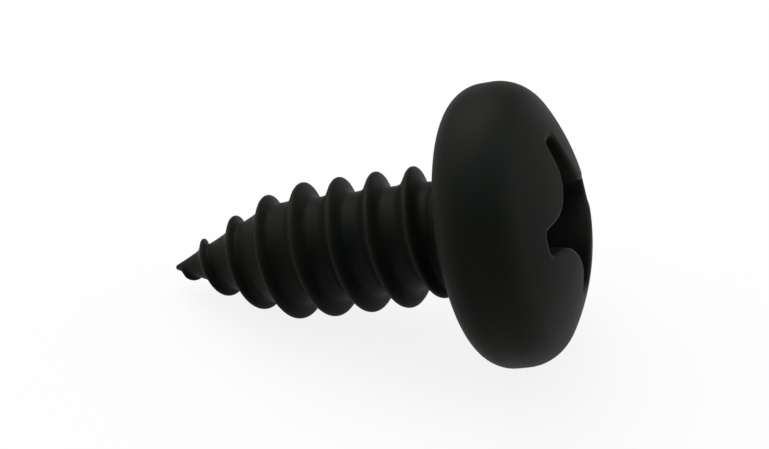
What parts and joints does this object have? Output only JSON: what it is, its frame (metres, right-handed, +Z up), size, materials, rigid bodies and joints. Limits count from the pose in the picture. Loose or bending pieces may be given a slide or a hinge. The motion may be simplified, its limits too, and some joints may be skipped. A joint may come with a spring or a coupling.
{
  "type": "sheet metal screw",
  "caption": "Black pan head sheet metal screw with a cross recess, a coarse right-hand tapping thread and a sharp point, lying on its side.",
  "frame": {"origin": "on the flat surface that the screw lies on, under the middle of its length and width", "axes": "+Z up; the screw's axis lies in the XZ plane, with its head towards +X and raised by 18.0 degrees; Y across"},
  "size_m": [0.0194, 0.0126, 0.0123],
  "materials": {
    "black_coating": "satin black coating"
  },
  "bodies": {
    "root": {"screw": "black_coating"}
  },
  "joints": []
}
